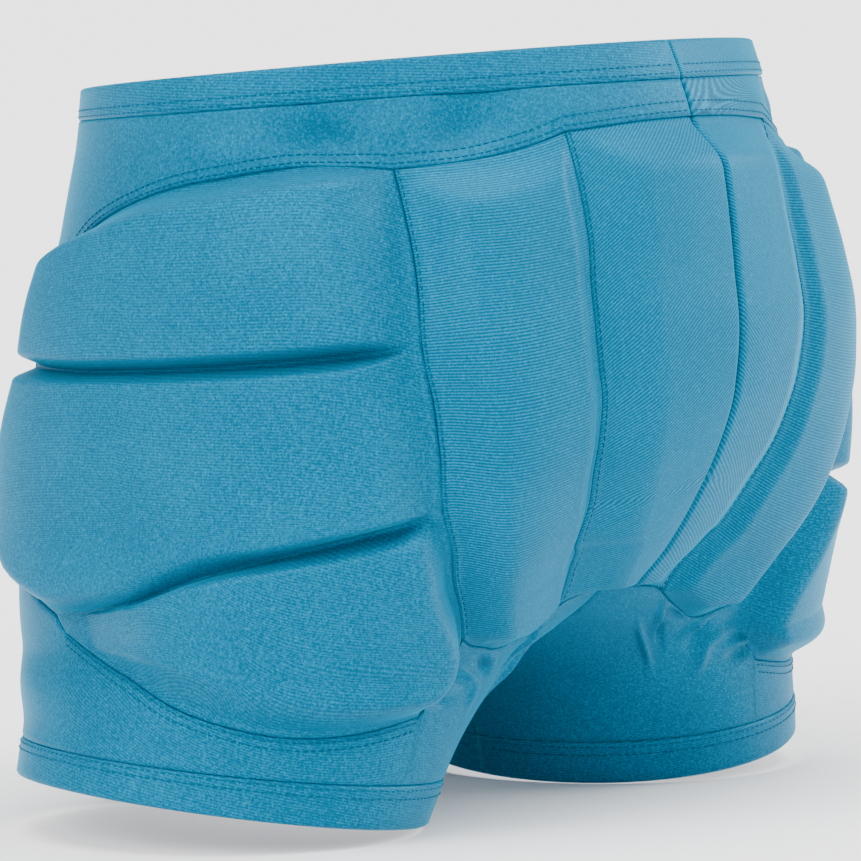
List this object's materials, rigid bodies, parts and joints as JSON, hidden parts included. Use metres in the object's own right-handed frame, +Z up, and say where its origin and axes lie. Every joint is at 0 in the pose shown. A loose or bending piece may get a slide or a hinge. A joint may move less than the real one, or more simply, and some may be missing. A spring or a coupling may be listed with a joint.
{
  "type": "padded impact shorts",
  "caption": "Close-fitting turquoise stretch undershorts with moulded foam pads over the hips and seat, a flat waistband and short hemmed legs.",
  "frame": {"origin": "centre of the waist opening, just below the edge of the waistband", "axes": "+Z up through the waist opening, the wearer faces -Y, +X towards the wearer's left"},
  "size_m": [0.3914, 0.2977, 0.3088],
  "materials": {
    "stretch_cloth": "shiny fine-ribbed stretch knit",
    "inner_cloth": "matt knit",
    "foam": "matt closed-cell foam"
  },
  "bodies": {
    "root": {"waistband_left": "stretch_cloth", "waistband_right": "stretch_cloth", "yoke_left": "stretch_cloth", "yoke_right": "stretch_cloth", "hip_cover_left": "stretch_cloth", "hip_cover_right": "stretch_cloth", "outer_seat_cover_left": "stretch_cloth", "outer_seat_cover_right": "stretch_cloth", "inner_seat_cover_left": "stretch_cloth", "inner_seat_cover_right": "stretch_cloth", "leg_panel_left": "stretch_cloth", "leg_panel_right": "stretch_cloth", "leg_hem_left": "stretch_cloth", "leg_hem_right": "stretch_cloth", "hip_pad_upper_left": "foam", "hip_pad_upper_right": "foam", "hip_pad_middle_left": "foam", "hip_pad_middle_right": "foam", "hip_pad_lower_left": "foam", "hip_pad_lower_right": "foam", "outer_seat_pad_left": "foam", "outer_seat_pad_right": "foam", "inner_seat_pad_left": "foam", "inner_seat_pad_right": "foam", "hip_lining_left": "inner_cloth", "hip_lining_right": "inner_cloth", "seat_lining_left": "inner_cloth", "seat_lining_right": "inner_cloth"}
  },
  "joints": []
}
